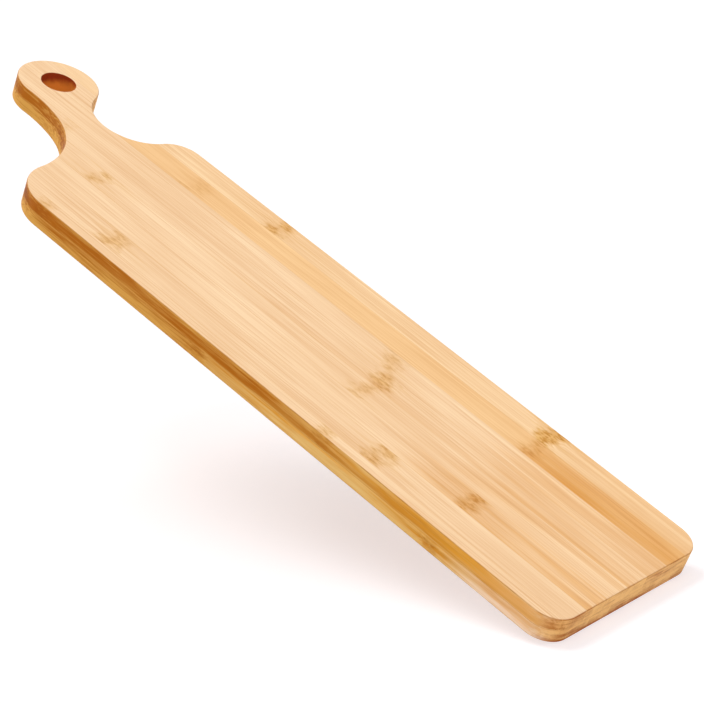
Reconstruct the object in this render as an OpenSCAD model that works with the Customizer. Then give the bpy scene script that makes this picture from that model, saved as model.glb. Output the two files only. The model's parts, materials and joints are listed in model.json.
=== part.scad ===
// Paddle charcuterie board: two plies of bamboo slats, glued edge to edge and face to face,
// then cut to one outline with a leaning handle and a hanging hole.
// The handle points along -X and leans towards +Y. The board lies on Z = 0.
// X and Y are counted from the middle of the board's overall box.

/* [Board] */
// Overall length, from the handle tip to the square end
board_l = 500; // [470:1:600]
// Width of the blade
board_w = 130; // [129:1:138]
// Thickness over both plies
board_t = 15; // [10:0.5:24]
// Radius of the two corners at the square end
corner_r = 15; // [5:0.5:40]

/* [Handle] */
// Radius of the round handle tip
tip_r = 24.5; // [21:0.5:26]
// Distance of the tip's centre from the blade's centreline
tip_y = 35; // [31:0.5:35.5]
// Diameter of the hanging hole
hole_d = 21; // [12:0.5:24]
// Radius of the hollow on the side that the handle leans to
hollow_r = 28; // [27:0.5:34]
// Direction from the tip to the middle of that hollow, in degrees
hollow_a = 25; // [21:1:25]
// Radius of the shoulder between that hollow and the blade
hollow_shoulder_r = 17.5; // [10:0.5:24]
// Radius of the long curve on the other side of the handle
grip_r = 91.5; // [80:0.5:110]
// Direction from the tip to the middle of the long curve, in degrees
grip_a = -88; // [-90:1:-84]
// Radius of the tighter curve between the long curve and the blade
throat_r = 52.5; // [45:0.5:60]
// Direction in which the long curve passes into the tighter one, in degrees
throat_a = 73; // [68:1:78]
// Radius of the shoulder between the tighter curve and the blade
throat_shoulder_r = 29; // [20:0.5:34]

/* [Slats] */
// Width of one slat and its glue line
slat_w = 17.5; // [17:0.1:18.2]
// Width of the first slat of the top ply, from the +Y edge
top_first_w = 17.5; // [15:0.5:18]
// Width of the first slat of the bottom ply, from the +Y edge
bottom_first_w = 10; // [8:0.5:12]
// Thickness of a glue line
glue_t = 0.2; // [0.1:0.05:0.5]

/* [Hidden] */
$fn = 360;

end_x = board_l / 2;
half_w = board_w / 2;
ply_t = (board_t - glue_t) / 2;
top_z = ply_t + glue_t;
slat_count = 8;
pale = [0.98, 0.82, 0.60];
honey = [0.93, 0.72, 0.45];
golden = [0.86, 0.62, 0.31];
glue = [0.66, 0.45, 0.22];

function polar(r, a) = [r * cos(a), r * sin(a)];

// Middle of a shoulder of radius r that touches the blade's edge and a hollow of radius hr
function shoulder(middle, hr, r, side) =
    let (y = side * (half_w - r))
    [middle.x + sqrt(pow(hr + r, 2) - pow(y - middle.y, 2)), y];

// Middles of the arcs round the handle, each touching the next
tip = [-end_x + tip_r, tip_y];
hollow = tip + polar(tip_r + hollow_r, hollow_a);
hollow_shoulder = shoulder(hollow, hollow_r, hollow_shoulder_r, 1);
grip = tip + polar(tip_r + grip_r, grip_a);
throat = grip + polar(grip_r - throat_r, throat_a);
throat_shoulder = shoulder(throat, throat_r, throat_shoulder_r, -1);

// Joints are counted from the +Y edge: joint k lies between slats k and k + 1
function joint_y(first_w, k) = half_w - first_w - slat_w * (k - 1);
function slat_top_y(first_w, k) = k == 1 ? half_w + 1 : joint_y(first_w, k - 1) - glue_t / 2;
function slat_low_y(first_w, k) = k == slat_count ? -half_w - 1 : joint_y(first_w, k) + glue_t / 2;

// Round column of radius r that stands on Z = 0
module column(middle, r, t) {
    translate([middle.x, middle.y, 0])
        cylinder(r = r, h = t);
}

// Round hole of radius r through a layer of thickness t
module bore(middle, r, t) {
    translate([middle.x, middle.y, -1])
        cylinder(r = r, h = t + 2);
}

// Slice of such a hole between two directions
module bore_slice(middle, r, t, from, to) {
    translate([middle.x, middle.y, -1])
        rotate(from)
            rotate_extrude(angle = to - from)
                square([r, t + 2]);
}

// Blade and neck: straight lines between the middles of the arcs, less the three hollow curves.
// The long curve is cut one degree past the tip, which covers that end.
module body(t) {
    difference() {
        linear_extrude(t)
            polygon([
                tip,
                hollow,
                hollow_shoulder,
                [hollow_shoulder.x, half_w],
                [end_x - corner_r, half_w],
                [end_x, half_w - corner_r],
                [end_x, corner_r - half_w],
                [end_x - corner_r, -half_w],
                [throat_shoulder.x, -half_w],
                throat_shoulder,
                throat,
                grip
            ]);
        bore(hollow, hollow_r, t);
        bore(throat, throat_r, t);
        bore_slice(grip, grip_r, t, throat_a, 180 + grip_a + 1);
    }
}

// One layer of the board, with the hanging hole bored through it
module layer(z, t) {
    translate([0, 0, z])
        difference() {
            union() {
                body(t);
                column(tip, tip_r, t);
                column(hollow_shoulder, hollow_shoulder_r, t);
                column(throat_shoulder, throat_shoulder_r, t);
                for (side = [-1, 1])
                    column([end_x - corner_r, side * (half_w - corner_r)], corner_r, t);
            }
            bore(tip, hole_d / 2, t);
        }
}

// Block over a ply's full thickness between two X and two Y positions
module block(z, x, y) {
    translate([x[0], y[0], z - 1])
        cube([x[1] - x[0], y[1] - y[0], ply_t + 2]);
}

// The stretch of slat k of a ply between two X positions
module slat_stretch(first_w, k, z, x) {
    intersection() {
        layer(z, ply_t);
        block(z, x, [slat_low_y(first_w, k), slat_top_y(first_w, k)]);
    }
}

// Slat k over the board's whole length
module slat(first_w, k, z) {
    slat_stretch(first_w, k, z, [-end_x - 1, end_x + 1]);
}

// The part of slat k beyond the hollow, in the blade
module blade_slat(first_w, k, z) {
    slat_stretch(first_w, k, z, [hollow.x, end_x + 1]);
}

// The part of slat k before the hollow, in the handle tip
module handle_slat(first_w, k, z) {
    slat_stretch(first_w, k, z, [-end_x - 1, hollow.x]);
}

// Glue in all the joints of a ply
module glue_lines(first_w, z) {
    intersection() {
        layer(z, ply_t);
        for (k = [1 : slat_count - 1])
            let (y = joint_y(first_w, k))
            block(z, [-end_x - 1, end_x + 1], [y - glue_t / 2, y + glue_t / 2]);
    }
}

module top_slat_1() { color(honey) blade_slat(top_first_w, 1, top_z); }
module top_slat_2() { color(golden) blade_slat(top_first_w, 2, top_z); }
module top_slat_3() { color(pale) slat(top_first_w, 3, top_z); }
module top_slat_4() { color(pale) slat(top_first_w, 4, top_z); }
module top_slat_5() { color(pale) slat(top_first_w, 5, top_z); }
module top_slat_6() { color(pale) slat(top_first_w, 6, top_z); }
module top_slat_7() { color(pale) slat(top_first_w, 7, top_z); }
module top_slat_8() { color(pale) slat(top_first_w, 8, top_z); }
module top_handle_slat_1() { color(honey) handle_slat(top_first_w, 1, top_z); }
module top_handle_slat_2() { color(pale) handle_slat(top_first_w, 2, top_z); }

module bottom_slat_1() { color(honey) blade_slat(bottom_first_w, 1, 0); }
module bottom_slat_2() { color(pale) blade_slat(bottom_first_w, 2, 0); }
module bottom_slat_3() { color(honey) slat(bottom_first_w, 3, 0); }
module bottom_slat_4() { color(pale) slat(bottom_first_w, 4, 0); }
module bottom_slat_5() { color(honey) slat(bottom_first_w, 5, 0); }
module bottom_slat_6() { color(pale) slat(bottom_first_w, 6, 0); }
module bottom_slat_7() { color(pale) slat(bottom_first_w, 7, 0); }
module bottom_slat_8() { color(honey) slat(bottom_first_w, 8, 0); }
module bottom_handle_slat_1() { color(honey) handle_slat(bottom_first_w, 1, 0); }
module bottom_handle_slat_2() { color(pale) handle_slat(bottom_first_w, 2, 0); }

module top_glue_lines() { color(glue) glue_lines(top_first_w, top_z); }
module bottom_glue_lines() { color(glue) glue_lines(bottom_first_w, 0); }
module ply_glue_sheet() { color(glue) layer(ply_t, glue_t); }

top_slat_1();
top_slat_2();
top_slat_3();
top_slat_4();
top_slat_5();
top_slat_6();
top_slat_7();
top_slat_8();
top_handle_slat_1();
top_handle_slat_2();
bottom_slat_1();
bottom_slat_2();
bottom_slat_3();
bottom_slat_4();
bottom_slat_5();
bottom_slat_6();
bottom_slat_7();
bottom_slat_8();
bottom_handle_slat_1();
bottom_handle_slat_2();
top_glue_lines();
bottom_glue_lines();
ply_glue_sheet();
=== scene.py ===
"""Looks of the paddle charcuterie board: eased bamboo slats, their glue, and a plain studio stage."""

import json
import math
from types import SimpleNamespace

import bmesh
import bpy
from bpy.props import FloatProperty, FloatVectorProperty, IntProperty, PointerProperty
from mathutils import Matrix, Vector


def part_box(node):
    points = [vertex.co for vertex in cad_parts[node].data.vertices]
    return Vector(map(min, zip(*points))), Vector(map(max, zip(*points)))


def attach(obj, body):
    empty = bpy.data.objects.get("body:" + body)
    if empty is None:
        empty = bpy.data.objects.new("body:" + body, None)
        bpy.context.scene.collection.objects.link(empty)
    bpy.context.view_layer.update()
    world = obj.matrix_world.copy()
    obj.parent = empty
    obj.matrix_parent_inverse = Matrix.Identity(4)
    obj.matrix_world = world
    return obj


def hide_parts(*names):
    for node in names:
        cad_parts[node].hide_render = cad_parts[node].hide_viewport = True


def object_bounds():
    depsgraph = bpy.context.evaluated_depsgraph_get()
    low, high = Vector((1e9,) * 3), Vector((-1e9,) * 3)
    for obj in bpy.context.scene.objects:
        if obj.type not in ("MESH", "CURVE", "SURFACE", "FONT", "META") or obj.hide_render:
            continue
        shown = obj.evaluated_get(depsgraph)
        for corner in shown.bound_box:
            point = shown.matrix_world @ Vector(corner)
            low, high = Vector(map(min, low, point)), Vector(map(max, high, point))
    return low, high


bl_info = {
    "name": "Paddle charcuterie board",
    "version": (1, 0, 0),
    "blender": (4, 5, 0),
    "location": "3D View > Sidebar > Board",
    "description": "Dresses the packed board with eased bamboo slats, glue lines and a studio stage",
    "category": "Object",
}

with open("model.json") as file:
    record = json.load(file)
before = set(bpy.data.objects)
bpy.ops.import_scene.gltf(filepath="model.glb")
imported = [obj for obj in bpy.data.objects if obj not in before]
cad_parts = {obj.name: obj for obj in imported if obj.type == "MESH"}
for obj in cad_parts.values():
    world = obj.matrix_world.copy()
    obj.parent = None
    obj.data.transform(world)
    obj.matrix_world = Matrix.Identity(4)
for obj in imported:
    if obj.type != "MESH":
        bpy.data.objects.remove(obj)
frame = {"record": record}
cad_box = [list(corner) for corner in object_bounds()]

MM = 0.001
SLATS_IN_A_PLY = 8
HANDLE_SLATS = (1, 2)
BORED_SLATS = ("top_slat_3", "top_handle_slat_2", "bottom_slat_3", "bottom_handle_slat_2")
SLAT_SLOT = {part["node"]: part["material_slot"] for part in frame["record"]["subparts"]}
HANGING_HOLE = next(m for m in frame["record"]["mounts"] if m["name"] == "hanging_hole")

# Limits of the sawing, in millimetres: how near a point lies on a cut, and how near two points are one
ON_THE_CUT = 1e-5
SAME_POINT = 1e-4

# Faces that meet at less than the first angle become one, and at more than the second they meet sharply
ONE_FACE_ANGLE = math.radians(0.05)
SHARP_ANGLE = math.radians(40)

# The floor: half its width in metres, its two tones, and its glow. The board gets the lesser glow, which
# lights it from below though the floor is no lamp. The one that is seen grows from the first strength to
# the second between two places along the floor, in metres: painted light that makes the shadow fainter
# round the square end.
FLOOR_HALF_WIDTH = 3.0
FLOOR_TONES = ((0.50, 0.48, 0.475), (0.52, 0.50, 0.495))
GLOW_TINT = (1.0, 0.965, 1.0, 1.0)
GLOW_ON_BOARD = 0.2
GLOW_SEEN = (0.515, 0.63)
GLOW_PLACES = (0.08, 0.28)

# Knuckles of the culm on each slat: place along the board, lean across the slat, length and strength.
# Places and lengths are in millimetres, and the lean is in millimetres along for each one across.
KNUCKLES = {
    "top_slat_1": [(-57, 0.1, 15, 0.85), (150, 0.1, 12, 1.45)],
    "top_slat_2": [(-107, 0.1, 13, 0.25), (151, 0.0, 12, 0.55)],
    "top_slat_3": [(64, -0.5, 13, 0.5)],
    "top_slat_4": [(74, -0.25, 15, 0.75), (-185, 0.0, 10, 0.3)],
    "top_slat_5": [(73, 0.2, 11, 0.5), (-137, 0.2, 12, 0.6)],
    "top_slat_6": [(166, 0.1, 11, 0.9)],
    "top_slat_7": [(-85, 0.1, 14, 0.65), (117, 0.0, 14, 0.75)],
    "top_slat_8": [(90, 0.1, 11, 0.6), (-127, 0.0, 11, 0.6)],
    "bottom_slat_1": [(-34, 0.1, 11, 0.7), (176, 0.0, 11, 0.8)],
    "bottom_slat_2": [(64, 0.2, 12, 0.8), (-140, 0.0, 10, 0.4)],
    "bottom_slat_3": [(-98, 0.1, 12, 0.7), (113, -0.2, 12, 0.9)],
    "bottom_slat_4": [(22, 0.0, 12, 0.8), (228, 0.1, 11, 0.6)],
    "bottom_slat_5": [(-70, -0.3, 13, 0.8), (141, 0.1, 12, 0.7)],
    "bottom_slat_6": [(87, 0.1, 12, 0.9), (-122, 0.2, 11, 0.6)],
    "bottom_slat_7": [(-11, 0.2, 12, 0.7), (197, 0.0, 12, 0.9)],
    "bottom_slat_8": [(2, 0.0, 9, 0.8), (171, 0.15, 10, 0.9)],
    "bottom_handle_slat_2": [(-210, 0.0, 9, 0.4)],
}

# Runs where a slat takes on another tone along its length: start, run-in and amount from 0 to 1. A run
# that isn't as wide as its slat also has its reach from the slat's edge on the -Y side. Lengths are in
# millimetres.
WHOLE_WIDTH = 1000.0
GOLDEN_RUNS = {
    "top_slat_1": [(150, 30, 0.25), (175, 25, 0.15, 7)],
    "top_slat_2": [(146, 14, 0.65), (158, 30, 1.0, 11)],
    "top_slat_3": [(110, 70, 0.4)],
    "top_slat_4": [(110, 70, 0.45), (-80, 60, 0.15, 6)],
    "top_slat_5": [(110, 70, 0.35)],
    "top_slat_6": [(105, 60, 0.6)],
    "bottom_slat_3": [(-80, 30, 0.5)],
    "bottom_slat_6": [(95, 20, 0.6)],
}

# Runs where the outer edge of a slat turns golden. On the eighth slats, the long side in front, this is
# partly the wood's own tone from a knuckle on and partly painted light that grows towards the square end
GOLDEN_EDGE_RUNS = {
    "top_slat_1": [(-55, 8, 0.5)],
    "top_slat_8": [(10, 90, 0.6), (90, 50, 1.0)],
    "bottom_slat_1": [(176, 8, 0.4)],
    "bottom_slat_8": [(4, 10, 0.5), (20, 70, 1.0)],
}

# Runs where the outer edge of a slat turns buff, paler still: painted light, the pale wash that bounce
# light from the floor gives the long side in front near the square end
PAINTED_LIGHT_EDGE_RUNS = {
    "top_slat_8": [(190, 45, 0.5)],
    "bottom_slat_8": [(170, 40, 0.7), (190, 40, 1.0)],
}

# How far the face of a slat is from its slot's tone towards the fibre's, 0 to 1
DEEPER_TONE = {
    "top_slat_4": 0.06,
    "top_slat_7": 0.06,
    "bottom_slat_2": 0.12,
    "bottom_slat_5": 0.2,
    "bottom_slat_7": 0.08,
}

# How much darker the cut end of a slat is, 0 to 1
DARKER_END = {
    "top_slat_4": 0.04,
    "top_slat_5": 0.05,
    "top_slat_6": 0.14,
    "top_slat_7": 0.34,
    "top_slat_8": 0.26,
    "bottom_slat_5": 0.12,
}

# How the wood darkens through each ply, on its sides and on its end: the height where it would be lightest
# and the height where it would be darkest, in millimetres over the underside. Below the height of the seam,
# the sides are paler again.
# On the bottom ply's end, the steep darkening towards the underside is partly painted shade where the
# square end rests on the floor
PLY_DEPTHS = {
    "top": {"Core": 18.3, "Skin": 10.8, "Seam": 8.7, "End_core": 5.0, "End_skin": 55.0},
    "bottom": {"Core": 0.5, "Skin": 12.5, "Seam": -1.0, "End_core": 6.0, "End_skin": 0.3},
}


# Settings that a user would change

def size(name, description, millimetres):
    """A length, given in millimetres and kept in metres."""
    return FloatProperty(
        name=name, description=description, default=millimetres * MM, min=0.0, precision=4, unit="LENGTH")


def turn(name, description, degrees):
    """An angle, given in degrees."""
    return FloatProperty(name=name, description=description, default=math.radians(degrees), subtype="ANGLE")


def share(name, description, default):
    """An amount from 0 to 1."""
    return FloatProperty(
        name=name, description=description, default=default, min=0.0, max=1.0, subtype="FACTOR")


def power(name, description, default):
    """The strength of a lamp or of the room's light."""
    return FloatProperty(name=name, description=description, default=default, min=0.0)


def colour(name, description, red, green, blue):
    """A colour given as the eye reads it on a screen, 0 to 255."""
    return FloatVectorProperty(
        name=name, description=description, subtype="COLOR", size=3, min=0.0, max=1.0,
        default=[screen_to_linear(part / 255) for part in (red, green, blue)])


def screen_to_linear(part):
    return part / 12.92 if part <= 0.04045 else ((part + 0.055) / 1.055) ** 2.4


class BoardOutline(bpy.types.PropertyGroup):
    """Curves of the board's outline that the CAD box doesn't give."""
    corner_radius: size("Corner", "Radius of the two corners at the square end", 15.0)
    hollow_radius: size("Hollow", "Radius of the hollow on the side that the handle leans to", 28.0)
    hollow_way: turn("Hollow direction", "Direction from the tip to the middle of that hollow", 25.0)
    hollow_shoulder_radius: size("Hollow shoulder", "Radius between that hollow and the blade", 17.5)
    grip_radius: size("Grip", "Radius of the long curve on the other side of the handle", 91.5)
    grip_way: turn("Grip direction", "Direction from the tip to the middle of the long curve", -88.0)
    throat_radius: size("Throat", "Radius of the tighter curve between the grip and the blade", 52.5)
    throat_way: turn("Throat direction", "Direction in which the grip passes into the throat", 73.0)
    throat_shoulder_radius: size("Throat shoulder", "Radius between the tighter curve and the blade", 29.0)
    easing: size("Easing", "Radius of the eased edges of both faces", 0.7)
    hole_easing: size("Hole easing", "Radius of the eased edges of the hanging hole", 0.4)
    easing_steps: IntProperty(
        name="Easing steps", description="Facets across an eased edge", default=6, min=2, max=16)
    curve_step: size("Curve step", "Length of one facet along the outline's curves", 1.2)
    straight_step: size("Straight step", "Length of one facet along the straight edges", 20.0)


class BambooLooks(bpy.types.PropertyGroup):
    """Colours and finish of the bamboo and the glue."""
    pale: colour("Pale bamboo", "Face of the pale slats", 255, 222, 181)
    honey: colour("Honey bamboo", "Face of the honey slats", 255, 220, 174)
    golden: colour("Golden bamboo", "Face of the golden slat", 252, 210, 155)
    golden_run: colour("Golden run", "Face where a slat turns more golden", 234, 172, 92)
    grain: colour("Grain", "Tint laid over the wood along its darker lines", 221, 190, 154)
    fibre: colour("Fibre", "Tone of the deeper slats and of the glue's darker patches", 221, 165, 107)
    bundle: colour("Fibre bundles", "Short dark dashes in the face, dots on a cut end", 204, 144, 76)
    knuckle: colour("Knuckle stain", "Tint laid over the wood at a knuckle", 238, 220, 174)
    speck: colour("Knuckle specks", "Tint of the darker specks in a knuckle", 220, 195, 140)
    edge_light: colour("Cut edge", "Side of a slat away from its skin", 222, 164, 76)
    edge_dark: colour("Dense edge", "Side of a slat close to its skin", 180, 101, 4)
    edge_golden: colour("Golden cut edge", "Cut edge where it turns golden", 238, 196, 122)
    dense_golden: colour("Golden dense edge", "Dense edge where it turns golden", 230, 160, 52)
    # Painted light: the buff tones paint the pale wash on the long side in front near the square end
    edge_buff: colour("Buff cut edge", "Cut edge where it turns buff", 255, 226, 200)
    dense_buff: colour("Buff dense edge", "Dense edge where it turns buff", 246, 196, 142)
    # Painted shade laid on the sides that face the handle's end
    back_cut: colour("Painted back shade", "Sides that face the handle's end, soaked dark with oil", 139, 70, 4)
    end_grain: colour("End grain", "Ends of the slats at the square end", 255, 202, 127)
    end_dark: colour("End grain dots", "Fibre dots and oil-dark patches in the end grain", 176, 96, 28)
    # A darker tone laid along the eased edges, in patches
    worn: colour("Worn edge", "Eased edges that oil and handling have darkened", 188, 128, 64)
    bored: colour("Hole wall", "Bored wall of the hanging hole", 218, 132, 44)
    # The burnt tone is partly painted shade, laid high up in the hole under its rim
    burnt: colour("Burnt hole wall", "Hole wall where the drill has burnt it", 144, 50, 14)
    glue: colour("Joint glue", "Cured glue between the slats", 236, 190, 134)
    edge_glue: colour("Glue at the edges", "Cured glue where it comes out at an edge", 206, 142, 66)
    fibre_depth: share("Fibre depth", "How strongly the fibre lines show", 0.64)
    roughness: share("Roughness", "Middle roughness of the oiled faces", 0.5)
    gloss: share("Gloss", "How strongly the oiled bamboo mirrors the room", 0.1)


class StudioStage(bpy.types.PropertyGroup):
    """Floor, light and camera."""
    floor_tilt: turn("Floor tilt", "Slope of the floor, which the board's square end rests on", 23.0)
    camera_way: turn("Camera direction", "Turn of the camera round the board", 31.084)
    camera_rise: turn("Camera rise", "Height angle of the camera over the board", 32.051)
    camera_roll: turn("Camera roll", "Roll of the camera about its own line of sight", 20.702)
    camera_distance: size("Camera distance", "From the camera to its aim", 1322.3)
    camera_lens: FloatProperty(
        name="Camera lens", description="Focal length", default=124.24, unit="CAMERA")
    camera_aim: FloatVectorProperty(
        name="Camera aim", description="Point that the camera looks at", default=(0.0345, 0.0265, 0.0),
        subtype="XYZ", unit="LENGTH")
    room_light: power("Room light", "Even light from all round", 0.6)
    key_light: power("Key light", "Soft light from above the handle", 1.9)
    key_lean: FloatVectorProperty(
        name="Key lean", description="How far the key light leans from straight over the floor",
        default=(-1.05, -0.2, 0.0), subtype="XYZ")
    key_spread: turn("Key spread", "Width of the key light as seen from the board", 34.0)
    fill_light: power("Fill light", "Soft light towards the long edge and the square end", 0.7)
    fill_from: FloatVectorProperty(
        name="Fill direction", description="Direction that the fill light comes from",
        default=(0.7, -0.6, 0.55), subtype="DIRECTION")
    fill_spread: turn("Fill spread", "Width of the fill light as seen from the board", 50.0)


# The board's eased form, worked out in millimetres

def from_frame(axis, end):
    """Place of a side of the CAD box on one axis, in millimetres."""
    return cad_box[end][axis] / MM


def in_millimetres(outline):
    """The outline's lengths in millimetres, with its angles and counts as they are."""
    values = {}
    for name in outline.__annotations__:
        value = getattr(outline, name)
        is_length = outline.bl_rna.properties[name].unit == "LENGTH"
        values[name] = value / MM if is_length else value
    return SimpleNamespace(**values)


def polar(radius, angle):
    return Vector((radius * math.cos(angle), radius * math.sin(angle)))


def heading(start, end):
    return math.atan2(end.y - start.y, end.x - start.x)


def shoulder_middle(middle, hollow_radius, radius, y):
    """Middle of a shoulder that touches the blade's edge and a hollow."""
    return Vector((middle.x + math.sqrt((hollow_radius + radius) ** 2 - (y - middle.y) ** 2), y))


def hole_middle():
    return Vector(HANGING_HOLE["pos_m"][:2]) / MM


def hollow_middle(outline):
    """Middle of the hollow that parts the first two slats from the handle slats."""
    tip = hole_middle()
    return tip + polar(tip.x - from_frame(0, 0) + outline.hollow_radius, outline.hollow_way)


def outline_arcs(outline):
    """Arcs round the board, anticlockwise: middle, radius, first and last direction.

    A hollow runs backwards.
    """
    tip = hole_middle()
    tip_radius = tip.x - from_frame(0, 0)
    hollow = hollow_middle(outline)
    grip = tip + polar(tip_radius + outline.grip_radius, outline.grip_way)
    throat = grip + polar(outline.grip_radius - outline.throat_radius, outline.throat_way)
    hollow_shoulder = shoulder_middle(
        hollow, outline.hollow_radius, outline.hollow_shoulder_radius,
        from_frame(1, 1) - outline.hollow_shoulder_radius)
    throat_shoulder = shoulder_middle(
        throat, outline.throat_radius, outline.throat_shoulder_radius,
        from_frame(1, 0) + outline.throat_shoulder_radius)
    to_hollow_shoulder = heading(hollow, hollow_shoulder)
    to_throat_shoulder = heading(throat, throat_shoulder)
    quarter = math.pi / 2
    corner = outline.corner_radius
    corner_x = from_frame(0, 1) - corner
    return [
        (Vector((corner_x, from_frame(1, 0) + corner)), corner, 3 * quarter, 4 * quarter),
        (Vector((corner_x, from_frame(1, 1) - corner)), corner, 0.0, quarter),
        (hollow_shoulder, outline.hollow_shoulder_radius, quarter, to_hollow_shoulder + math.pi),
        (hollow, outline.hollow_radius, to_hollow_shoulder + math.tau, outline.hollow_way + math.pi),
        (tip, tip_radius, outline.hollow_way, outline.grip_way + math.tau),
        (grip, outline.grip_radius, outline.grip_way + math.pi, outline.throat_way),
        (throat, outline.throat_radius, outline.throat_way, to_throat_shoulder),
        (throat_shoulder, outline.throat_shoulder_radius, to_throat_shoulder + math.pi, 3 * quarter),
    ]


def edge_points(outline, inset):
    """Points round the outline, moved in by inset."""
    runs = []
    for middle, radius, first, last in outline_arcs(outline):
        steps = max(2, round(radius * abs(last - first) / outline.curve_step))
        moved = radius - inset if last > first else radius + inset
        runs.append([middle + polar(moved, first + (last - first) * i / steps) for i in range(steps + 1)])
    points = []
    for run, following in zip(runs, runs[1:] + runs[:1]):
        gap = following[0] - run[-1]
        pieces = round(gap.length / outline.straight_step)
        points += run if pieces else run[:-1]
        points += [run[-1] + gap * i / pieces for i in range(1, pieces)]
    return points


def hole_points(outline, inset):
    """Points round the hanging hole, clockwise, moved into the wood by inset."""
    radius = HANGING_HOLE["dims"]["r_mm"]
    steps = round(math.tau * radius / outline.curve_step)
    return [hole_middle() + polar(radius + inset, -math.tau * i / steps) for i in range(steps)]


def eased_profile(easing, steps):
    """Inset and height of each ring from the underside to the serving face."""
    turns = [math.pi / 2 * i / steps for i in range(steps + 1)]
    lower = [(easing * (1 - math.sin(t)), easing * (1 - math.cos(t))) for t in turns]
    top = from_frame(2, 1)
    return lower + [(inset, top - height) for inset, height in reversed(lower)]


def eased_board(outline):
    """The whole board as one closed form with eased edges."""
    form = bmesh.new()
    first_rims, last_rims = [], []
    for points_at, easing in ((edge_points, outline.easing), (hole_points, outline.hole_easing)):
        rings = [
            [form.verts.new((*point, height)) for point in points_at(outline, inset)]
            for inset, height in eased_profile(easing, outline.easing_steps)]
        for low, high in zip(rings, rings[1:]):
            for i in range(len(low)):
                j = (i + 1) % len(low)
                form.faces.new((low[i], low[j], high[j], high[i]))
        for ring, rims in ((rings[0], first_rims), (rings[-1], last_rims)):
            rims += [form.edges.get((ring[i - 1], ring[i])) for i in range(len(ring))]
    for rims in (first_rims, last_rims):
        bmesh.ops.triangle_fill(form, edges=rims, use_beauty=True)
    return form


def saw(form, place, away):
    """Cuts the form at a plane, drops what lies on the away side, and closes the cut."""
    found = bmesh.ops.bisect_plane(
        form, geom=form.verts[:] + form.edges[:] + form.faces[:], dist=ON_THE_CUT,
        plane_co=place, plane_no=away, clear_outer=True)
    rim = [part for part in found["geom_cut"] if isinstance(part, bmesh.types.BMEdge)]
    if rim:
        bmesh.ops.triangle_fill(form, edges=rim, use_beauty=True)


def keep_between(form, axis, low, high):
    """Saws the form to a stretch of one axis. A side that is None stays as it is."""
    way = Vector([float(i == axis) for i in range(3)])
    if high is not None:
        saw(form, way * high, way)
    if low is not None:
        saw(form, way * low, -way)


def clean_form(form, name, one_face=True):
    """Takes out the lines left inside flat faces and makes sure that the form is closed."""
    bmesh.ops.remove_doubles(form, verts=form.verts, dist=SAME_POINT)
    bmesh.ops.dissolve_degenerate(form, edges=form.edges, dist=SAME_POINT)
    if one_face:
        bmesh.ops.dissolve_limit(form, angle_limit=ONE_FACE_ANGLE, verts=form.verts, edges=form.edges)
    bmesh.ops.recalc_face_normals(form, faces=form.faces)
    open_edges = [edge for edge in form.edges if len(edge.link_faces) != 2]
    if open_edges or not form.faces:
        raise RuntimeError(f"{name}: the cut left {len(open_edges)} open edges and {len(form.faces)} faces")


def add_piece(name, form, node, material):
    """Turns a finished form into a piece that stands for a CAD node."""
    mesh = bpy.data.meshes.new(name)
    form.transform(Matrix.Scale(MM, 4))
    form.to_mesh(mesh)
    form.free()
    mesh.shade_smooth()
    mesh.set_sharp_from_angle(angle=SHARP_ANGLE)
    mesh.materials.append(material)
    piece = bpy.data.objects.new(name, mesh)
    bpy.context.scene.collection.objects.link(piece)
    flats = piece.modifiers.new("Flat faces stay flat", "WEIGHTED_NORMAL")
    flats.weight = 100
    flats.keep_sharp = True
    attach(piece, "root")
    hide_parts(node)


def node_span(node, axis):
    """Lowest and highest place of a CAD node on one axis."""
    low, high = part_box(node)
    return low[axis] / MM, high[axis] / MM


def slat_names(ply):
    in_blade = [f"{ply}_slat_{i}" for i in range(1, SLATS_IN_A_PLY + 1)]
    return in_blade + [f"{ply}_handle_slat_{i}" for i in HANDLE_SLATS]


def saw_ply(form, ply, node):
    """Keeps the ply that a node lies in. The eased outer face stays."""
    low_z, high_z = node_span(node, 2)
    keep_between(form, 2, low_z if ply == "top" else None, None if ply == "top" else high_z)


def slat_form(whole, ply, node, split_x):
    """One slat sawn out of the whole board."""
    form = whole.copy()
    number = int(node[-1])
    low_y, high_y = node_span(node, 1)
    saw_ply(form, ply, node)
    keep_between(form, 1, low_y if number < SLATS_IN_A_PLY else None, high_y if number > 1 else None)
    if number in HANDLE_SLATS:
        in_handle = "handle" in node
        keep_between(form, 0, None if in_handle else split_x, split_x if in_handle else None)
    clean_form(form, node)
    return form


def glue_lines_form(whole, ply):
    """The glue between all the slats of a ply."""
    node = f"{ply}_glue_lines"
    lines = bmesh.new()
    for number in range(1, SLATS_IN_A_PLY):
        form = whole.copy()
        saw_ply(form, ply, node)
        low_y = node_span(f"{ply}_slat_{number + 1}", 1)[1]
        high_y = node_span(f"{ply}_slat_{number}", 1)[0]
        keep_between(form, 1, low_y, high_y)
        clean_form(form, node)
        line = bpy.data.meshes.new("glue line")
        form.to_mesh(line)
        form.free()
        lines.from_mesh(line)
        bpy.data.meshes.remove(line)
    return lines


# Sheets of nodes

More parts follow.
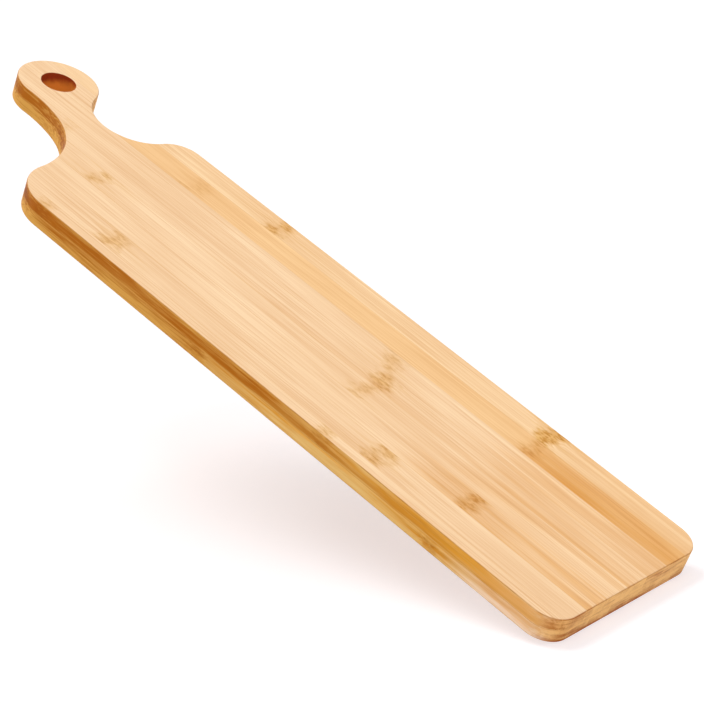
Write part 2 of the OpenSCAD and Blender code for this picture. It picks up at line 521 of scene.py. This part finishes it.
class NodeSheet:
    """Lays out the nodes of one material or group. A term is a number, a tuple or another node's output."""

    spacing = (190, -260)
    nodes_in_a_row = 12

    def __init__(self, tree):
        self.tree = tree
        self.count = 0

    def node(self, kind, **settings):
        made = self.tree.nodes.new(kind)
        row, column = divmod(self.count, self.nodes_in_a_row)
        made.location = (self.spacing[0] * column, self.spacing[1] * row)
        self.count += 1
        for name, value in settings.items():
            setattr(made, name, value)
        return made

    def feed(self, socket, term):
        if isinstance(term, bpy.types.NodeSocket):
            self.tree.links.new(term, socket)
        else:
            socket.default_value = term

    def feed_all(self, made, terms):
        """Feeds a node's inputs in order and hands out its first output."""
        for socket, term in zip(made.inputs, terms):
            self.feed(socket, term)
        return made.outputs[0]

    def calc(self, operation, *terms, clamp=False):
        made = self.node("ShaderNodeMath", operation=operation, use_clamp=clamp)
        return self.feed_all(made, terms)

    def add(self, *terms, clamp=False):
        total = terms[0]
        for term in terms[1:]:
            total = self.calc("ADD", total, term, clamp=clamp)
        return total

    def times(self, *terms):
        total = terms[0]
        for term in terms[1:]:
            total = self.calc("MULTIPLY", total, term)
        return total

    def less(self, value, taken):
        return self.calc("SUBTRACT", value, taken)

    def around(self, value, middle, amount):
        """How far a value is from its middle, times an amount."""
        return self.calc("MULTIPLY", self.less(value, middle), amount)

    def vector(self, operation, *terms):
        made = self.node("ShaderNodeVectorMath", operation=operation)
        self.feed_all(made, terms)
        return made.outputs["Value" if operation == "LENGTH" else "Vector"]

    def parts(self, vector):
        made = self.node("ShaderNodeSeparateXYZ")
        self.feed(made.inputs[0], vector)
        return made.outputs

    def join(self, x, y, z):
        return self.feed_all(self.node("ShaderNodeCombineXYZ"), (x, y, z))

    def stretched(self, place, along, across):
        """A place scaled along the fibres and across them."""
        return self.vector("MULTIPLY", place, (along, across, across))

    def ease(self, value, low, high, start=0.0, end=1.0):
        """Carries a value from low..high smoothly over to start..end."""
        made = self.node("ShaderNodeMapRange", interpolation_type="SMOOTHSTEP", clamp=True)
        return self.feed_all(made, (value, low, high, start, end))

    def noise(self, place, detail=2.0, roughness=0.5):
        made = self.node("ShaderNodeTexNoise", noise_dimensions="3D")
        self.feed(made.inputs["Vector"], place)
        self.feed(made.inputs["Scale"], 1.0)
        self.feed(made.inputs["Detail"], detail)
        self.feed(made.inputs["Roughness"], roughness)
        return made.outputs[0]

    def fibrous(self, place, along, across, *detail):
        """Noise that is stretched along the fibres."""
        return self.noise(self.stretched(place, along, across), *detail)

    def cells(self, place):
        made = self.node("ShaderNodeTexVoronoi", voronoi_dimensions="3D", feature="F1")
        self.feed(made.inputs["Vector"], place)
        self.feed(made.inputs["Scale"], 1.0)
        return made.outputs["Distance"]

    def mix(self, amount, first, second, blend="MIX"):
        """Two colours mixed. The node keeps its colours at inputs 6 and 7 and at output 2."""
        made = self.node("ShaderNodeMix", data_type="RGBA", blend_type=blend)
        self.feed(made.inputs[0], amount)
        self.feed(made.inputs[6], paint(first))
        self.feed(made.inputs[7], paint(second))
        return made.outputs[2]

    def group(self, tree, *sources, **terms):
        """Places a group. Outputs of the sources feed its inputs of the same name, and terms the others."""
        made = self.node("ShaderNodeGroup", node_tree=tree)
        for output in (output for source in sources for output in source):
            if output.name in made.inputs:
                self.feed(made.inputs[output.name], output)
        for name, term in terms.items():
            socket = made.inputs[name.replace("_", " ")]
            self.feed(socket, paint(term) if socket.type == "RGBA" else term)
        return made.outputs


def paint(term):
    """A colour with its fourth part, or an output as it is."""
    if isinstance(term, bpy.types.NodeSocket):
        return term
    return (*term[:3], 1.0)


def clear_sheet(owner):
    """The empty sheet of a new material or world."""
    owner.use_nodes = True
    owner.node_tree.nodes.clear()
    return NodeSheet(owner.node_tree)


def new_group(name, inputs, outputs):
    """An empty node group with its named sockets: a sheet, the inputs and the outputs."""
    tree = bpy.data.node_groups.new(name, "ShaderNodeTree")
    kinds = {"value": "NodeSocketFloat", "vector": "NodeSocketVector", "colour": "NodeSocketColor"}
    for way, sockets in (("INPUT", inputs), ("OUTPUT", outputs)):
        for kind, names in sockets.items():
            for socket in names:
                tree.interface.new_socket(socket, in_out=way, socket_type=kinds[kind])
    sheet = NodeSheet(tree)
    return sheet, sheet.node("NodeGroupInput").outputs, sheet.node("NodeGroupOutput").inputs


def once(maker):
    """Builds a group the first time and hands out the same one after that."""
    def get():
        return bpy.data.node_groups.get(maker.__name__) or maker(maker.__name__)
    return get


# Effects that several materials share

@once
def bamboo_knuckle(name):
    """A knuckle across a slat: a soft stain, darker specks, and how far it pushes the fibres aside."""
    sheet, given, out = new_group(
        name,
        {"vector": ["Place"], "value": ["Along", "Lean", "Length", "Strength", "Slat middle"]},
        {"value": ["Stain", "Specks", "Push"]})
    place = given["Place"]
    x, y, z = sheet.parts(place)
    across = sheet.less(y, given["Slat middle"])
    wander = sheet.noise(sheet.join(given["Along"], sheet.times(y, 0.2), sheet.times(z, 0.2)), 3.0, 0.6)
    off = sheet.less(x, given["Along"])
    off = sheet.less(off, sheet.times(across, given["Lean"]))
    off = sheet.less(off, sheet.around(wander, 0.5, 7.0))
    reach = sheet.calc("ABSOLUTE", sheet.calc("DIVIDE", off, given["Length"]))
    clouds = sheet.fibrous(place, 0.11, 0.3, 3.0, 0.6)
    ragged = sheet.add(reach, sheet.around(clouds, 0.5, 1.7))
    patchy = sheet.ease(sheet.fibrous(place, 0.06, 0.14, 1.0), 0.3, 0.6, 0.4, 1.0)
    stain = sheet.times(sheet.ease(ragged, 0.85, 0.0), patchy)
    grains = sheet.ease(sheet.fibrous(place, 0.25, 0.6, 2.0, 0.6), 0.38, 0.68)
    specks = sheet.times(sheet.ease(ragged, 0.7, 0.0), patchy, grains)
    tail = sheet.ease(sheet.fibrous(place, 0.02, 0.5, 2.0), 0.5, 0.7, 0.0, 0.5)
    stain = sheet.calc("MAXIMUM", stain, sheet.times(tail, sheet.ease(reach, 3.0, 0.4)))
    swirl = sheet.fibrous(place, 0.09, 0.22, 1.0)
    push = sheet.times(sheet.less(swirl, 0.5), sheet.ease(reach, 1.6, 0.0, 0.0, 7.0))
    sheet.feed(out["Stain"], sheet.times(stain, given["Strength"]))
    sheet.feed(out["Specks"], sheet.times(specks, given["Strength"]))
    sheet.feed(out["Push"], sheet.times(push, given["Strength"]))
    return sheet.tree


@once
def bamboo_fibres(name):
    """Fibres along the board: lines, short flecks, wide streaks, drift, and bundles that dot the ends."""
    sheet, given, out = new_group(
        name,
        {"vector": ["Place"], "value": ["Push", "Seed"]},
        {"value": ["Lines", "Flecks", "Streaks", "Drift", "Bundles"]})
    moved = sheet.join(sheet.times(given["Seed"], 613.0), sheet.times(given["Seed"], 37.0), 0.0)
    moved = sheet.vector("ADD", moved, sheet.join(0.0, given["Push"], 0.0))
    place = sheet.vector("ADD", given["Place"], moved)
    fine = sheet.fibrous(place, 0.01, 1.5, 3.0, 0.6)
    medium = sheet.fibrous(place, 0.007, 0.75, 2.0, 0.5)
    lines = sheet.ease(sheet.add(sheet.times(fine, 0.5), sheet.times(medium, 0.5)), 0.37, 0.63, 0.0, 0.7)
    thin = sheet.ease(sheet.fibrous(place, 0.012, 1.15, 2.0, 0.6), 0.52, 0.64, 0.0, 0.55)
    lines = sheet.add(lines, thin, clamp=True)
    clear = sheet.ease(sheet.fibrous(place, 0.012, 0.05, 1.0), 0.35, 0.65, 0.5, 1.0)
    sheet.feed(out["Lines"], sheet.add(0.5, sheet.times(sheet.less(lines, 0.5), clear)))
    flecks = sheet.fibrous(place, 0.035, 0.9, 3.0, 0.6)
    sheet.feed(out["Flecks"], sheet.ease(flecks, 0.36, 0.64))
    sheet.feed(out["Streaks"], sheet.ease(sheet.fibrous(place, 0.006, 0.16, 2.0), 0.3, 0.7))
    sheet.feed(out["Drift"], sheet.ease(sheet.fibrous(place, 0.014, 0.05, 2.0), 0.32, 0.68))
    sheet.feed(out["Bundles"], sheet.ease(sheet.cells(sheet.stretched(place, 0.03, 0.85)), 0.34, 0.16))
    return sheet.tree


@once
def slat_cut(name):
    """How a surface was cut: a side, along the fibres, across them at the square end, or eased. It also
    gives how far a surface faces the handle's end, which takes painted shade.
    """
    sheet, given, out = new_group(
        name,
        {"vector": ["Facing"]},
        {"value": ["Side", "Long side", "End grain", "Painted back shade", "Eased"]})
    facing_x, facing_y, facing_z = sheet.parts(given["Facing"])
    upright = sheet.calc("ABSOLUTE", facing_z)
    sheet.feed(out["Side"], sheet.ease(upright, 0.95, 0.5))
    sheet.feed(out["Long side"], sheet.ease(sheet.calc("ABSOLUTE", facing_y), 0.4, 0.95))
    sheet.feed(out["End grain"], sheet.ease(facing_x, 0.15, 0.95))
    # Surfaces that face the handle's end, which take painted shade
    sheet.feed(out["Painted back shade"], sheet.ease(facing_x, 0.0, -0.7))
    sheet.feed(out["Eased"], sheet.times(sheet.ease(upright, 0.06, 0.4), sheet.ease(upright, 0.99, 0.8)))
    return sheet.tree


@once
def slat_depth(name):
    """How near a place is to the dense skin of the culm, on a side and on an end, in slow waves. On the
    bottom ply's end the darkening towards the underside is partly painted shade where the square end meets
    the floor.
    """
    sheet, given, out = new_group(
        name, {"vector": ["Place"], "value": ["Core", "Skin", "Seam", "End core", "End skin"]},
        {"value": ["Dense", "End darkening"]})
    wave = sheet.noise(sheet.vector("MULTIPLY", given["Place"], (0.012, 0.05, 0.5)), 2.0)
    height = sheet.parts(given["Place"])[2]
    seam = sheet.ease(height, sheet.add(given["Seam"], -0.9), given["Seam"], 0.4, 1.0)
    ramps = (("Dense", "Core", "Skin", 0.8, seam), ("End darkening", "End core", "End skin", 2.1, 1.0))
    for output, core, skin, amount, share_left in ramps:
        depth = sheet.less(height, given[core])
        depth = sheet.calc("DIVIDE", depth, sheet.less(given[skin], given[core]))
        depth = sheet.add(depth, sheet.around(wave, 0.5, amount), clamp=True)
        sheet.feed(out[output], sheet.times(depth, share_left))
    return sheet.tree


@once
def tone_run(name):
    """Where a slat takes on another tone along its length, streaked along the fibres."""
    sheet, given, out = new_group(
        name,
        {"vector": ["Place"], "value": ["Start", "Run in", "Amount", "Edge", "Reach", "Streaks"]},
        {"value": ["Mask"]})
    x, y, _ = sheet.parts(given["Place"])
    sway = sheet.fibrous(given["Place"], 0.02, 0.16, 2.0)
    along = sheet.add(x, sheet.times(sheet.less(sway, 0.5), given["Run in"]))
    along = sheet.ease(along, given["Start"], sheet.add(given["Start"], given["Run in"]))
    inward = sheet.less(y, given["Edge"])
    across = sheet.ease(sheet.add(inward, sheet.around(sway, 0.5, 5.0)), given["Reach"], 0.0)
    streaked = sheet.add(sheet.times(given["Streaks"], 0.5), sheet.times(sway, 0.5))
    streaked = sheet.ease(streaked, 0.2, 0.75, 0.4, 1.1)
    sheet.feed(out["Mask"], sheet.times(along, across, streaked, given["Amount"]))
    return sheet.tree


@once
def bore_wall(name):
    """The wall of the hanging hole, and where it turns dark high up and towards the tip: partly where the
    drill burnt it, partly painted shade that the rim casts into the hole.
    """
    sheet, given, out = new_group(
        name, {"vector": ["Place", "Middle"], "value": ["Radius"]}, {"value": ["Mask", "Burn and shade"]})
    x, y, z = sheet.parts(sheet.vector("SUBTRACT", given["Place"], given["Middle"]))
    out_by = sheet.less(sheet.vector("LENGTH", sheet.join(x, y, 0.0)), given["Radius"])
    patches = sheet.fibrous(given["Place"], 0.25, 0.25, 3.0)
    # Darker high up and towards the tip: partly burn, partly painted shade from the rim
    burn_and_shade = sheet.add(sheet.times(z, 0.13), sheet.times(x, -0.035), sheet.around(patches, 0.5, 0.5))
    sheet.feed(out["Mask"], sheet.ease(out_by, 0.25, 0.02))
    sheet.feed(out["Burn and shade"], sheet.ease(burn_and_shade, 0.1, 0.9))
    return sheet.tree


@once
def bamboo_face(name):
    """Colour of a slat's broad face: fibre lines, streaks and dashes over the slat's own tone."""
    sheet, given, out = new_group(
        name,
        {"colour": ["Tone", "Grain", "Bundle"],
         "value": ["Lines", "Streaks", "Drift", "Bundles", "Fibre depth"]},
        {"colour": ["Colour"]})
    grain = sheet.add(
        sheet.around(given["Lines"], 0.075, 0.8), sheet.times(given["Streaks"], 0.12),
        sheet.times(given["Drift"], 0.25))
    face = sheet.mix(sheet.times(grain, given["Fibre depth"]), given["Tone"], given["Grain"], "MULTIPLY")
    sheet.feed(out["Colour"], sheet.mix(sheet.times(given["Bundles"], 0.12), face, given["Bundle"]))
    return sheet.tree


@once
def bamboo_edge(name):
    """Colour of a slat's sides and ends: streaked along the fibres, dotted across them, with painted shade
    on the sides that face the handle's end.
    """
    sheet, given, out = new_group(
        name,
        {"colour": ["Light", "Dark", "Back", "End light", "End dark"],
         "value": ["Lines", "Flecks", "Streaks", "Drift", "Bundles", "Dense", "End darkening",
                   "Darker end", "Long side", "End grain", "Painted back shade", "Eased"]},
        {"colour": ["Colour"]})
    flecks = sheet.around(given["Flecks"], 0.5, 0.6)
    flecks = sheet.times(flecks, sheet.ease(given["Long side"], 0.0, 1.0, 0.3, 1.0))
    streaked = sheet.add(
        given["Dense"], sheet.around(given["Lines"], 0.4, 0.45), flecks,
        sheet.around(given["Drift"], 0.38, 0.45), clamp=True)
    # Streaked painted shade for the sides that face the handle's end
    shaded = sheet.add(
        sheet.around(given["Dense"], 0.1, 0.7), sheet.times(flecks, 0.6),
        sheet.times(given["Bundles"], 0.15), sheet.around(given["Streaks"], 0.5, 0.3),
        sheet.around(given["Drift"], 0.5, 0.4), clamp=True)
    side = sheet.mix(streaked, given["Light"], given["Dark"])
    side = sheet.mix(sheet.times(given["Painted back shade"], shaded), side, given["Back"])
    corner = sheet.times(given["Long side"], given["End grain"])
    dotted = sheet.add(
        given["End darkening"], given["Darker end"], sheet.times(given["Bundles"], 0.2),
        sheet.times(flecks, 0.5), sheet.around(given["Streaks"], 0.5, 0.25),
        sheet.around(given["Drift"], 0.5, 0.4), sheet.times(given["Eased"], 0.4),
        sheet.times(corner, sheet.around(given["Dense"], 0.6, 0.6)), clamp=True)
    end = sheet.mix(dotted, given["End light"], given["End dark"])
    sheet.feed(out["Colour"], sheet.mix(given["End grain"], side, end))
    return sheet.tree


@once
def edge_wear(name):
    """Where an eased edge turns darker, in patches. End grain is dark by itself."""
    sheet, given, out = new_group(
        name, {"vector": ["Place"], "value": ["Eased", "End grain"]}, {"value": ["Mask"]})
    eased_patches = sheet.fibrous(given["Place"], 0.06, 0.2, 3.0, 0.6)
    eased_patches = sheet.ease(eased_patches, 0.35, 0.65, 0.85, 0.35)
    along_fibres = sheet.less(1.0, given["End grain"])
    sheet.feed(out["Mask"], sheet.times(given["Eased"], eased_patches, along_fibres))
    return sheet.tree


@once
def oiled_finish(name):
    """Satin oil over sanded bamboo: roughness that follows the fibres, and their faint relief."""
    sheet, given, out = new_group(
        name,
        {"vector": ["Place"], "value": ["Middle roughness", "Lines", "Bundles", "Specks", "Eased"]},
        {"value": ["Roughness", "Height"]})
    wiped = sheet.fibrous(given["Place"], 0.02, 0.05, 3.0)
    rough = sheet.add(
        given["Middle roughness"], sheet.around(wiped, 0.5, 0.25), sheet.times(given["Lines"], 0.07),
        sheet.times(given["Eased"], -0.06), clamp=True)
    sanded = sheet.fibrous(given["Place"], 0.12, 5.0, 2.0)
    height = sheet.add(
        sheet.times(given["Lines"], 0.5), sheet.times(sanded, 0.25), sheet.times(given["Bundles"], -0.35),
        sheet.times(given["Specks"], -0.25))
    sheet.feed(out["Roughness"], rough)
    sheet.feed(out["Height"], height)
    return sheet.tree


# Materials

def blank_material(name):
    """A material with its sheet, its surface shader, places in millimetres, and where a surface faces."""
    material = bpy.data.materials.new(name)
    sheet = clear_sheet(material)
    where = sheet.node("ShaderNodeTexCoord").outputs
    place = sheet.vector("SCALE", where["Object"])
    place.node.inputs["Scale"].default_value = 1 / MM
    surface = sheet.node("ShaderNodeBsdfPrincipled")
    output = sheet.node("ShaderNodeOutputMaterial")
    sheet.feed(output.inputs["Surface"], surface.outputs[0])
    return material, sheet, place, where["Normal"], surface


def lay_relief(sheet, height, surface, strength, depth):
    """Feeds a height in through a bump node, with its depth in millimetres."""
    bump = sheet.node("ShaderNodeBump")
    sheet.feed(bump.inputs["Strength"], strength)
    sheet.feed(bump.inputs["Distance"], depth * MM)
    sheet.feed(bump.inputs["Height"], height)
    sheet.feed(surface.inputs["Normal"], bump.outputs[0])


def with_hole_wall(sheet, place, tone, looks):
    """A colour that turns into the bored wall inside the hanging hole."""
    bored = sheet.group(
        bore_wall(), Place=place, Middle=Vector(HANGING_HOLE["pos_m"]) / MM,
        Radius=HANGING_HOLE["dims"]["r_mm"])
    return sheet.mix(bored["Mask"], tone, sheet.mix(bored["Burn and shade"], looks.bored, looks.burnt))


def slat_bamboo(ply, node, looks):
    """The bamboo of one slat, with its own tone, knuckles and fibres."""
    material, sheet, place, facing, surface = blank_material("bamboo of " + node)
    low_y, high_y = node_span(node, 1)

    stain = specks = push = 0.0
    for along, lean, length, strength in KNUCKLES.get(node, []):
        mark = sheet.group(
            bamboo_knuckle(), Place=place, Along=float(along), Lean=lean, Length=float(length),
            Strength=strength, Slat_middle=(low_y + high_y) / 2)
        stain = sheet.add(stain, mark["Stain"], clamp=True)
        specks = sheet.add(specks, mark["Specks"], clamp=True)
        push = sheet.add(push, mark["Push"])
    seed = list(SLAT_SLOT).index(node) + 1.0
    fibres = sheet.group(bamboo_fibres(), Place=place, Push=push, Seed=seed)
    cut = sheet.group(slat_cut(), Facing=facing)
    depth = sheet.group(slat_depth(), Place=place, **PLY_DEPTHS[ply])

    def with_runs(runs, first, second):
        """A colour that turns into another one where its runs are."""
        for start, run_in, amount, *reach in runs.get(node, []):
            run = sheet.group(
                tone_run(), fibres, Place=place, Start=float(start), Run_in=float(run_in), Amount=amount,
                Edge=low_y, Reach=float(reach[0]) if reach else WHOLE_WIDTH)
            first = sheet.mix(run["Mask"], first, second)
        return first

    slot_tones = {"bamboo_pale": looks.pale, "bamboo_honey": looks.honey, "bamboo_golden": looks.golden}
    tone = Vector(slot_tones[SLAT_SLOT[node]]).lerp(Vector(looks.fibre), DEEPER_TONE.get(node, 0.0))
    tone = with_runs(GOLDEN_RUNS, tone, looks.golden_run)
    face = sheet.group(
        bamboo_face(), fibres, Tone=tone, Grain=looks.grain, Bundle=looks.bundle,
        Fibre_depth=looks.fibre_depth)
    golden_light = with_runs(GOLDEN_EDGE_RUNS, looks.edge_light, looks.edge_golden)
    golden_dense = with_runs(GOLDEN_EDGE_RUNS, looks.edge_dark, looks.dense_golden)
    edge = sheet.group(
        bamboo_edge(), fibres, depth, cut,
        # The buff runs paint light on the long side in front near the square end
        Light=with_runs(PAINTED_LIGHT_EDGE_RUNS, golden_light, looks.edge_buff),
        Dark=with_runs(PAINTED_LIGHT_EDGE_RUNS, golden_dense, looks.dense_buff),
        # Back is the painted shade on the sides that face the handle's end
        Back=looks.back_cut, End_light=looks.end_grain, End_dark=looks.end_dark,
        Darker_end=DARKER_END.get(node, 0.0))
    wood = sheet.mix(cut["Side"], face["Colour"], edge["Colour"])
    wood = sheet.mix(stain, wood, looks.knuckle, "MULTIPLY")
    wood = sheet.mix(specks, wood, looks.speck, "MULTIPLY")
    eased_darkening = sheet.group(edge_wear(), cut, Place=place)
    wood = sheet.mix(eased_darkening["Mask"], wood, looks.worn)
    if node in BORED_SLATS:
        wood = with_hole_wall(sheet, place, wood, looks)
    finish = sheet.group(
        oiled_finish(), fibres, cut, Place=place, Middle_roughness=looks.roughness, Specks=specks)
    surface.inputs["Specular IOR Level"].default_value = looks.gloss
    sheet.feed(surface.inputs["Base Color"], wood)
    sheet.feed(surface.inputs["Roughness"], finish["Roughness"])
    lay_relief(sheet, finish["Height"], surface, strength=0.35, depth=0.08)
    return material


def cured_glue(looks):
    """Cured glue, a little uneven along the joint, and darker where it comes out at an edge."""
    material, sheet, place, facing, surface = blank_material("cured glue")
    run = sheet.fibrous(place, 0.06, 0.3, 3.0, 0.6)
    beads = sheet.fibrous(place, 0.7, 2.0, 2.0)
    patchy = sheet.mix(sheet.ease(run, 0.35, 0.7, 0.0, 0.5), looks.glue, looks.fibre)
    beaded = sheet.mix(sheet.ease(beads, 0.55, 0.75, 0.0, 0.25), patchy, looks.bundle)
    cut = sheet.group(slat_cut(), Facing=facing)
    # Glue that faces the handle's end takes the dark edge tone as painted shade
    at_edge = sheet.mix(cut["Painted back shade"], looks.edge_glue, looks.edge_dark)
    at_edge = sheet.mix(sheet.times(cut["End grain"], 0.5), at_edge, looks.end_grain)
    film = sheet.mix(cut["Side"], beaded, at_edge)
    surface.inputs["Specular IOR Level"].default_value = looks.gloss
    sheet.feed(surface.inputs["Base Color"], with_hole_wall(sheet, place, film, looks))
    sheet.feed(surface.inputs["Roughness"], sheet.ease(run, 0.2, 0.8, 0.35, 0.55))
    lay_relief(sheet, beads, surface, strength=0.2, depth=0.05)
    return material


def floor_paint():
    """Pale floor that reads white and keeps the board's shadow, which painted light from a stronger glow
    makes fainter round the square end.

    From below it can be seen through.
    """
    material = bpy.data.materials.new("pale floor")
    sheet = clear_sheet(material)
    place = sheet.node("ShaderNodeTexCoord").outputs["Object"]
    mottle = sheet.ease(sheet.fibrous(place, 4.0, 4.0, 3.0), 0.3, 0.7)
    matt = sheet.node("ShaderNodeBsdfDiffuse")
    sheet.feed(matt.inputs["Color"], sheet.mix(mottle, *FLOOR_TONES))
    glow = sheet.node("ShaderNodeEmission")
    glow.inputs["Color"].default_value = GLOW_TINT
    painted_light_round_end = sheet.ease(sheet.parts(place)[0], *GLOW_PLACES, *GLOW_SEEN)
    # Other rays get the lesser glow, so the floor lights the board from below like a lamp
    strength = sheet.ease(seen_directly(sheet), 0.0, 1.0, GLOW_ON_BOARD, painted_light_round_end)
    sheet.feed(glow.inputs["Strength"], strength)
    both = sheet.node("ShaderNodeAddShader")
    sheet.feed(both.inputs[0], matt.outputs[0])
    sheet.feed(both.inputs[1], glow.outputs[0])
    choice = sheet.node("ShaderNodeMixShader")
    sheet.feed(choice.inputs[0], sheet.node("ShaderNodeNewGeometry").outputs["Backfacing"])
    sheet.feed(choice.inputs[1], both.outputs[0])
    sheet.feed(choice.inputs[2], sheet.node("ShaderNodeBsdfTransparent").outputs[0])
    sheet.feed(sheet.node("ShaderNodeOutputMaterial").inputs["Surface"], choice.outputs[0])
    return material


# The stage

def seen_directly(sheet):
    """1 for rays that show the background: from the camera, off gloss, or through glass."""
    rays = sheet.node("ShaderNodeLightPath").outputs
    seen = sheet.calc("MAXIMUM", rays["Is Camera Ray"], rays["Is Glossy Ray"])
    return sheet.calc("MAXIMUM", seen, rays["Is Transmission Ray"])


def light_room(stage):
    """Even light all round, and a white background where it is seen."""
    world = bpy.data.worlds.new("studio")
    sheet = clear_sheet(world)
    choice = sheet.node("ShaderNodeMixShader")
    sheet.feed(choice.inputs[0], seen_directly(sheet))
    for socket, strength in zip(choice.inputs[1:], (stage.room_light, 1.0)):
        light = sheet.node("ShaderNodeBackground")
        light.inputs["Color"].default_value = (1.0, 1.0, 1.0, 1.0)
        light.inputs["Strength"].default_value = strength
        sheet.feed(socket, light.outputs[0])
    sheet.feed(sheet.node("ShaderNodeOutputWorld").inputs["Surface"], choice.outputs[0])
    bpy.context.scene.world = world


def lay_floor(stage):
    """A sloping floor that the board's square end rests on. Gives the direction straight up from it."""
    end_x = cad_box[1][0]
    slope = Matrix.Translation((end_x, 0.0, cad_box[0][2])) @ Matrix.Rotation(-stage.floor_tilt, 4, "Y")
    half = FLOOR_HALF_WIDTH
    corners = [(-half, -half), (half, -half), (half, half), (-half, half)]
    mesh = bpy.data.meshes.new("floor")
    mesh.from_pydata([slope @ Vector((x, y, 0.0)) for x, y in corners], [], [(0, 1, 2, 3)])
    mesh.materials.append(floor_paint())
    floor = bpy.data.objects.new("floor", mesh)
    bpy.context.scene.collection.objects.link(floor)
    return slope.to_3x3() @ Vector((0.0, 0.0, 1.0))


def hang_sun(name, strength, toward, spread):
    """A soft lamp far away, seen from the board in the direction toward."""
    lamp = bpy.data.lights.new(name, "SUN")
    lamp.energy = strength
    lamp.angle = spread
    hung = bpy.data.objects.new(name, lamp)
    hung.rotation_mode = "QUATERNION"
    hung.rotation_quaternion = toward.to_track_quat("Z", "Y")
    bpy.context.scene.collection.objects.link(hung)


def aim_camera(stage):
    """The camera at the photograph's angle, rolled about its line of sight."""
    way, rise, roll = stage.camera_way, stage.camera_rise, stage.camera_roll
    back = Vector((math.sin(way) * math.cos(rise), -math.cos(way) * math.cos(rise), math.sin(rise)))
    right = Vector((math.cos(way), math.sin(way), 0.0))
    up = back.cross(right)
    rolled_right = right * math.cos(roll) + up * math.sin(roll)
    rolled_up = up * math.cos(roll) - right * math.sin(roll)
    camera = bpy.data.objects.new("camera", bpy.data.cameras.new("camera"))
    camera.data.lens = stage.camera_lens
    place = Vector(stage.camera_aim) + back * stage.camera_distance
    axes = Matrix((rolled_right, rolled_up, back)).transposed()
    camera.matrix_world = Matrix.Translation(place) @ axes.to_4x4()
    bpy.context.scene.collection.objects.link(camera)
    bpy.context.scene.camera = camera


# Operators

def dress_ply(scene, ply):
    """Makes the slats of one ply."""
    outline = in_millimetres(scene.board_outline)
    whole = eased_board(outline)
    split_x = hollow_middle(outline).x
    for node in slat_names(ply):
        form = slat_form(whole, ply, node, split_x)
        add_piece("bamboo_" + node, form, node, slat_bamboo(ply, node, scene.bamboo_looks))
    whole.free()


class BOARD_OT_top_ply(bpy.types.Operator):
    """Saws the slats of the top ply out of the eased board and gives each its bamboo"""
    bl_idname = "board.top_ply"
    bl_label = "Top ply"

    def execute(self, context):
        dress_ply(context.scene, "top")
        return {"FINISHED"}


class BOARD_OT_bottom_ply(bpy.types.Operator):
    """Saws the slats of the bottom ply out of the eased board and gives each its bamboo"""
    bl_idname = "board.bottom_ply"
    bl_label = "Bottom ply"

    def execute(self, context):
        dress_ply(context.scene, "bottom")
        return {"FINISHED"}


class BOARD_OT_glue(bpy.types.Operator):
    """Fills the joints between the slats and between the plies with glue"""
    bl_idname = "board.glue"
    bl_label = "Glue"

    def execute(self, context):
        whole = eased_board(in_millimetres(context.scene.board_outline))
        glue = cured_glue(context.scene.bamboo_looks)
        for ply in ("top", "bottom"):
            add_piece(f"glue_{ply}_lines", glue_lines_form(whole, ply), f"{ply}_glue_lines", glue)
        keep_between(whole, 2, *node_span("ply_glue_sheet", 2))
        clean_form(whole, "ply_glue_sheet", one_face=False)
        add_piece("glue_ply_sheet", whole, "ply_glue_sheet", glue)
        return {"FINISHED"}


class BOARD_OT_stage(bpy.types.Operator):
    """Sets up the floor, the light and the camera"""
    bl_idname = "board.stage"
    bl_label = "Stage"

    def execute(self, context):
        stage = context.scene.studio_stage
        context.scene.view_settings.view_transform = "Standard"
        aim_camera(stage)
        light_room(stage)
        overhead = lay_floor(stage)
        hang_sun("key", stage.key_light, overhead + Vector(stage.key_lean), stage.key_spread)
        hang_sun("fill", stage.fill_light, Vector(stage.fill_from), stage.fill_spread)
        return {"FINISHED"}


class BOARD_PT_sidebar(bpy.types.Panel):
    """Lists the board's steps and settings"""
    bl_idname = "BOARD_PT_sidebar"
    bl_label = "Paddle board"
    bl_space_type = "VIEW_3D"
    bl_region_type = "UI"
    bl_category = "Board"

    def draw(self, context):
        for operator in STEPS:
            self.layout.operator(operator.bl_idname)
        scene = context.scene
        for settings in (scene.board_outline, scene.bamboo_looks, scene.studio_stage):
            box = self.layout.box()
            for name in settings.__annotations__:
                box.prop(settings, name)


STEPS = (BOARD_OT_stage, BOARD_OT_top_ply, BOARD_OT_bottom_ply, BOARD_OT_glue)
CLASSES = (BoardOutline, BambooLooks, StudioStage, *STEPS, BOARD_PT_sidebar)


def register():
    for kind in CLASSES:
        bpy.utils.register_class(kind)
    bpy.types.Scene.board_outline = PointerProperty(type=BoardOutline)
    bpy.types.Scene.bamboo_looks = PointerProperty(type=BambooLooks)
    bpy.types.Scene.studio_stage = PointerProperty(type=StudioStage)


def unregister():
    del bpy.types.Scene.studio_stage
    del bpy.types.Scene.bamboo_looks
    del bpy.types.Scene.board_outline
    for kind in reversed(CLASSES):
        bpy.utils.unregister_class(kind)


def main():
    register()
    bpy.ops.board.stage()
    bpy.ops.board.top_ply()
    bpy.ops.board.bottom_ply()
    bpy.ops.board.glue()


if __name__ == "__main__":
    main()
